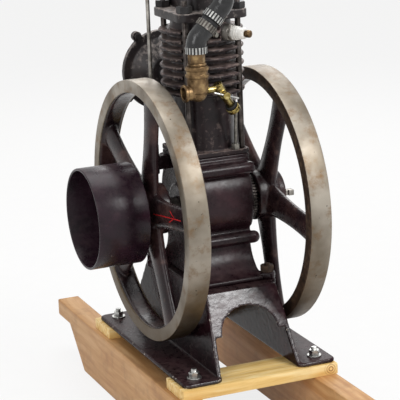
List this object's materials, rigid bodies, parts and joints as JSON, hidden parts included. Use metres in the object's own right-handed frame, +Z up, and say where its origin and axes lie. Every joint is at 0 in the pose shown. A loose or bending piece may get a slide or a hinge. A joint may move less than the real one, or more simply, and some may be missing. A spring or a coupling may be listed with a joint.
{
  "type": "stationary petrol engine",
  "caption": "Vertical air-cooled stationary petrol engine with paired spoked flywheels and a flat-belt pulley, bolted to a small timber skid.",
  "frame": {"origin": "on the floor under the middle of the overall box, at the crankshaft's height in the plan's Y", "axes": "+X along the crankshaft away from the belt pulley, +Y to the muffler at the rear, +Z up"},
  "size_m": [0.3906, 0.844, 0.844],
  "materials": {
    "dark_enamel": "gloss dark maroon enamel, worn",
    "wheel_enamel": "dark enamel on the spokes, worn bare iron on the rim",
    "bare_steel": "dull machined steel",
    "black_iron": "black iron, slightly rusty",
    "zinc_steel": "zinc plate",
    "dull_brass": "dull tarnished brass",
    "bright_brass": "bright brass",
    "black_rubber": "matt black rubber",
    "porcelain": "white glaze",
    "pine": "new yellow pine, planed",
    "runner_wood": "orange-brown timber, worn"
  },
  "bodies": {
    "engine": {"base": "dark_enamel", "crankcase": "dark_enamel", "cylinder": "dark_enamel", "cylinder_head": "dark_enamel", "intake_cage": "dark_enamel", "rocker_bracket": "dark_enamel", "tappet_guide": "dark_enamel", "intake_stem": "bare_steel", "intake_spring": "bare_steel", "intake_keeper": "bare_steel", "exhaust_stem": "bare_steel", "exhaust_spring": "bare_steel", "exhaust_keeper": "bare_steel", "rocker_pin": "bare_steel", "push_rod": "bare_steel", "head_studs": "bare_steel", "head_nuts": "bare_steel", "hose_coupling": "bare_steel", "fuel_tube": "bare_steel", "plug_shell": "bare_steel", "muffler_front": "black_iron", "muffler_rear": "black_iron", "exhaust_pipe": "black_iron", "rocker_arm": "black_iron", "foot_bolts": "zinc_steel", "ledge_bolts": "zinc_steel", "hose_clamps": "zinc_steel", "mixer_body": "dull_brass", "mixer_nipple": "dull_brass", "fuel_valve": "dull_brass", "union_nut": "bright_brass", "plug_terminal": "bright_brass", "hose_lower": "black_rubber", "hose_upper": "black_rubber", "plug_insulator": "porcelain", "skid_board_front": "pine", "skid_board_rear": "pine", "skid_runner_left": "runner_wood", "skid_runner_right": "runner_wood"},
    "crank": {"crankshaft": "bare_steel", "flywheel_left": "wheel_enamel", "flywheel_right": "wheel_enamel", "belt_pulley": "dark_enamel", "crank_gear": "bare_steel", "gib_key": "bare_steel"},
    "handle": {"valve_handle": "bright_brass"}
  },
  "joints": [
    {"name": "flywheel_spin", "type": "hinge", "parent": "engine", "child": "crank", "pos_m": [0.03725, 0, 0.383], "axis": [1, 0, 0], "continuous": true},
    {"name": "fuel_valve_turn", "type": "hinge", "parent": "engine", "child": "handle", "pos_m": [0.03075, -0.116, 0.593], "axis": [0, -1, 0], "range_deg": [0, 90]}
  ]
}
